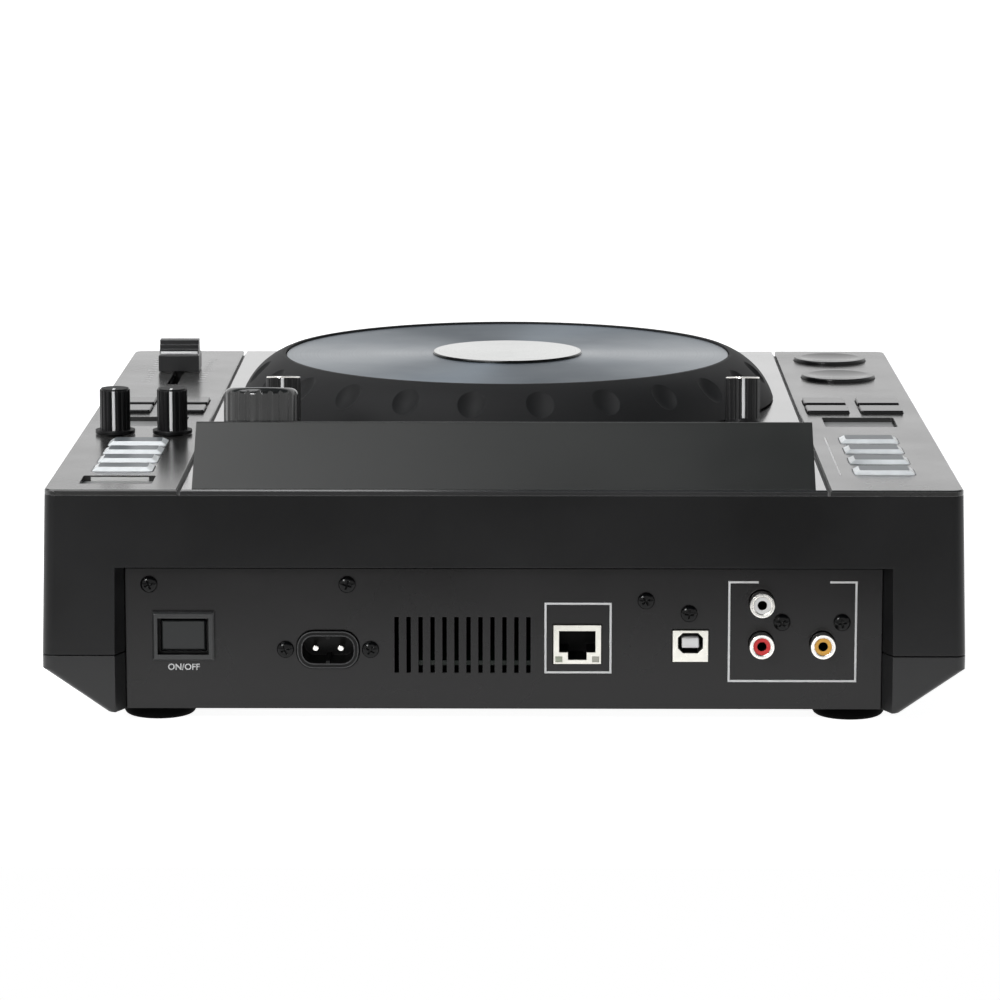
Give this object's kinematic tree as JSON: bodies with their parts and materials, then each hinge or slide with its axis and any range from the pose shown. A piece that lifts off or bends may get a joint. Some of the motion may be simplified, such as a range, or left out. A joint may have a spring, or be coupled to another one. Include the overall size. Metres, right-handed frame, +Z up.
{
  "type": "usb media player",
  "caption": "Table-top USB media player with a turning jog wheel, sprung buttons, knobs, a pitch slider, a sloping display hood and a recessed rear panel of jacks.",
  "frame": {"origin": "under the middle of the case, at the floor", "axes": "+Z up, -Y towards the user, +X at the user's right, the rear panel faces +Y"},
  "size_m": [0.3128, 0.3394, 0.1103],
  "materials": {
    "case_plastic": "fine-grained black moulding",
    "foot_rubber": "matt black",
    "black_screw": "black oxide",
    "panel_sheet": "satin black coat",
    "switch_plastic": "satin black",
    "inlet_plastic": "smooth black",
    "plated_brass": "nickel plated",
    "jack_shell": "tinned sheet",
    "plated_ring": "nickel plated",
    "white_plastic": "smooth",
    "red_plastic": "smooth",
    "orange_plastic": "smooth",
    "deck_plate": "satin black coat",
    "gloss_deck": "polished black",
    "hood_plastic": "satin black",
    "window_glass": "dark tinted",
    "screen_plastic": "smooth black",
    "circuit_board": "green lacquer",
    "knob_plastic": "fluted black",
    "inner_plastic": "plain moulding",
    "fader_plastic": "satin black",
    "jog_rubber": "soft matt black",
    "jog_face": "dark spun finish",
    "silver_disc": "spun silver",
    "steel": "ground",
    "bearing_brass": "turned",
    "lit_key": "translucent pale",
    "dark_key": "satin black",
    "transport_key": "satin black"
  },
  "bodies": {
    "base": {"upper_case": "case_plastic", "lower_case": "case_plastic", "feet": "foot_rubber", "case_screws": "black_screw", "rear_panel": "panel_sheet", "power_switch_bezel": "switch_plastic", "mains_inlet": "inlet_plastic", "mains_pins": "plated_brass", "ethernet_jack": "jack_shell", "usb_b_jack": "jack_shell", "rca_shells": "plated_ring", "rca_insulator_white": "white_plastic", "rca_insulator_red": "red_plastic", "rca_insulator_orange": "orange_plastic", "left_control_plate": "deck_plate", "right_control_plate": "deck_plate", "center_deck": "gloss_deck", "display_housing": "hood_plastic", "display_window": "window_glass", "display_module": "screen_plastic", "main_board": "circuit_board", "power_supply_board": "circuit_board", "switch_boards": "circuit_board", "usb_a_well": "deck_plate", "usb_a_port": "jack_shell", "rotary_control_bodies": "inner_plastic", "pitch_fader_body": "inner_plastic", "jog_bearing": "bearing_brass"},
    "hot_cue_button_1": {"hot_cue_button_1": "lit_key"},
    "hot_cue_button_2": {"hot_cue_button_2": "lit_key"},
    "hot_cue_button_3": {"hot_cue_button_3": "lit_key"},
    "hot_cue_button_4": {"hot_cue_button_4": "lit_key"},
    "loop_button_1": {"loop_button_1": "lit_key"},
    "loop_button_2": {"loop_button_2": "lit_key"},
    "loop_button_3": {"loop_button_3": "lit_key"},
    "loop_button_4": {"loop_button_4": "lit_key"},
    "left_mode_button_1": {"left_mode_button_1": "dark_key"},
    "left_mode_button_2": {"left_mode_button_2": "dark_key"},
    "left_mode_button_3": {"left_mode_button_3": "dark_key"},
    "left_mode_button_4": {"left_mode_button_4": "dark_key"},
    "right_mode_button_1": {"right_mode_button_1": "dark_key"},
    "right_mode_button_2": {"right_mode_button_2": "dark_key"},
    "right_mode_button_3": {"right_mode_button_3": "dark_key"},
    "right_mode_button_4": {"right_mode_button_4": "dark_key"},
    "left_well_button": {"left_well_button": "dark_key"},
    "right_well_button": {"right_well_button": "dark_key"},
    "cue_button": {"cue_button": "transport_key"},
    "play_button": {"play_button": "transport_key"},
    "power_button": {"power_button": "switch_plastic"},
    "inner_deck_knob": {"inner_deck_knob": "knob_plastic"},
    "outer_deck_knob": {"outer_deck_knob": "knob_plastic"},
    "left_display_knob": {"left_display_knob": "knob_plastic"},
    "right_display_knob": {"right_display_knob": "knob_plastic"},
    "browse_rotor": {"browse_rotor": "inner_plastic"},
    "browse_knob": {"browse_knob": "knob_plastic"},
    "pitch_fader": {"pitch_fader_cap": "fader_plastic"},
    "jog_wheel": {"jog_ring": "jog_rubber", "jog_plate": "jog_face", "jog_disc": "silver_disc", "jog_shaft": "steel"}
  },
  "joints": [
    {"name": "hot_cue_1_press", "type": "slide", "parent": "base", "child": "hot_cue_button_1", "axis": [0, 0, -1], "range_m": [0, 0.001], "stiffness_N_per_m": 1500},
    {"name": "hot_cue_2_press", "type": "slide", "parent": "base", "child": "hot_cue_button_2", "axis": [0, 0, -1], "range_m": [0, 0.001], "stiffness_N_per_m": 1500},
    {"name": "hot_cue_3_press", "type": "slide", "parent": "base", "child": "hot_cue_button_3", "axis": [0, 0, -1], "range_m": [0, 0.001], "stiffness_N_per_m": 1500},
    {"name": "hot_cue_4_press", "type": "slide", "parent": "base", "child": "hot_cue_button_4", "axis": [0, 0, -1], "range_m": [0, 0.001], "stiffness_N_per_m": 1500},
    {"name": "loop_1_press", "type": "slide", "parent": "base", "child": "loop_button_1", "axis": [0, 0, -1], "range_m": [0, 0.001], "stiffness_N_per_m": 1500},
    {"name": "loop_2_press", "type": "slide", "parent": "base", "child": "loop_button_2", "axis": [0, 0, -1], "range_m": [0, 0.001], "stiffness_N_per_m": 1500},
    {"name": "loop_3_press", "type": "slide", "parent": "base", "child": "loop_button_3", "axis": [0, 0, -1], "range_m": [0, 0.001], "stiffness_N_per_m": 1500},
    {"name": "loop_4_press", "type": "slide", "parent": "base", "child": "loop_button_4", "axis": [0, 0, -1], "range_m": [0, 0.001], "stiffness_N_per_m": 1500},
    {"name": "left_mode_1_press", "type": "slide", "parent": "base", "child": "left_mode_button_1", "axis": [0, 0, -1], "range_m": [0, 0.001], "stiffness_N_per_m": 1500},
    {"name": "left_mode_2_press", "type": "slide", "parent": "base", "child": "left_mode_button_2", "axis": [0, 0, -1], "range_m": [0, 0.001], "stiffness_N_per_m": 1500},
    {"name": "left_mode_3_press", "type": "slide", "parent": "base", "child": "left_mode_button_3", "axis": [0, 0, -1], "range_m": [0, 0.001], "stiffness_N_per_m": 1500},
    {"name": "left_mode_4_press", "type": "slide", "parent": "base", "child": "left_mode_button_4", "axis": [0, 0, -1], "range_m": [0, 0.001], "stiffness_N_per_m": 1500},
    {"name": "right_mode_1_press", "type": "slide", "parent": "base", "child": "right_mode_button_1", "axis": [0, 0, -1], "range_m": [0, 0.001], "stiffness_N_per_m": 1500},
    {"name": "right_mode_2_press", "type": "slide", "parent": "base", "child": "right_mode_button_2", "axis": [0, 0, -1], "range_m": [0, 0.001], "stiffness_N_per_m": 1500},
    {"name": "right_mode_3_press", "type": "slide", "parent": "base", "child": "right_mode_button_3", "axis": [0, 0, -1], "range_m": [0, 0.001], "stiffness_N_per_m": 1500},
    {"name": "right_mode_4_press", "type": "slide", "parent": "base", "child": "right_mode_button_4", "axis": [0, 0, -1], "range_m": [0, 0.001], "stiffness_N_per_m": 1500},
    {"name": "left_well_press", "type": "slide", "parent": "base", "child": "left_well_button", "axis": [0, 0, -1], "range_m": [0, 0.001], "stiffness_N_per_m": 1500},
    {"name": "right_well_press", "type": "slide", "parent": "base", "child": "right_well_button", "axis": [0, 0, -1], "range_m": [0, 0.001], "stiffness_N_per_m": 1500},
    {"name": "cue_press", "type": "slide", "parent": "base", "child": "cue_button", "axis": [0, 0, -1], "range_m": [0, 0.001], "stiffness_N_per_m": 1500},
    {"name": "play_press", "type": "slide", "parent": "base", "child": "play_button", "axis": [0, 0, -1], "range_m": [0, 0.001], "stiffness_N_per_m": 1500},
    {"name": "power_press", "type": "slide", "parent": "base", "child": "power_button", "axis": [0, -1, 0], "range_m": [0, 0.003], "stiffness_N_per_m": 1000},
    {"name": "inner_deck_turn", "type": "hinge", "parent": "base", "child": "inner_deck_knob", "pos_m": [0.1214, 0.04885, 0.0815], "axis": [0, 0, 1], "range_deg": [-140, 140]},
    {"name": "outer_deck_turn", "type": "hinge", "parent": "base", "child": "outer_deck_knob", "pos_m": [0.1422, 0.04885, 0.0815], "axis": [0, 0, 1], "range_deg": [-140, 140]},
    {"name": "left_display_turn", "type": "hinge", "parent": "base", "child": "left_display_knob", "pos_m": [-0.084, 0.09025, 0.09206], "axis": [0, -0.1634, 0.9866], "range_deg": [-140, 140]},
    {"name": "right_display_turn", "type": "hinge", "parent": "base", "child": "right_display_knob", "pos_m": [0.0785, 0.09025, 0.09206], "axis": [0, -0.1634, 0.9866], "range_deg": [-140, 140]},
    {"name": "browse_turn", "type": "hinge", "parent": "base", "child": "browse_rotor", "pos_m": [0.0845, 0.11925, 0.09686], "axis": [0, -0.1634, 0.9866], "continuous": true},
    {"name": "browse_press", "type": "slide", "parent": "browse_rotor", "child": "browse_knob", "axis": [0, 0.1634, -0.9866], "range_m": [0, 0.0006], "stiffness_N_per_m": 3000},
    {"name": "pitch_slide", "type": "slide", "parent": "base", "child": "pitch_fader", "axis": [0, 1, 0], "range_m": [-0.03, 0.03]},
    {"name": "jog_spin", "type": "hinge", "parent": "base", "child": "jog_wheel", "pos_m": [0, -0.04245, 0.0815], "axis": [0, 0, 1], "continuous": true}
  ]
}
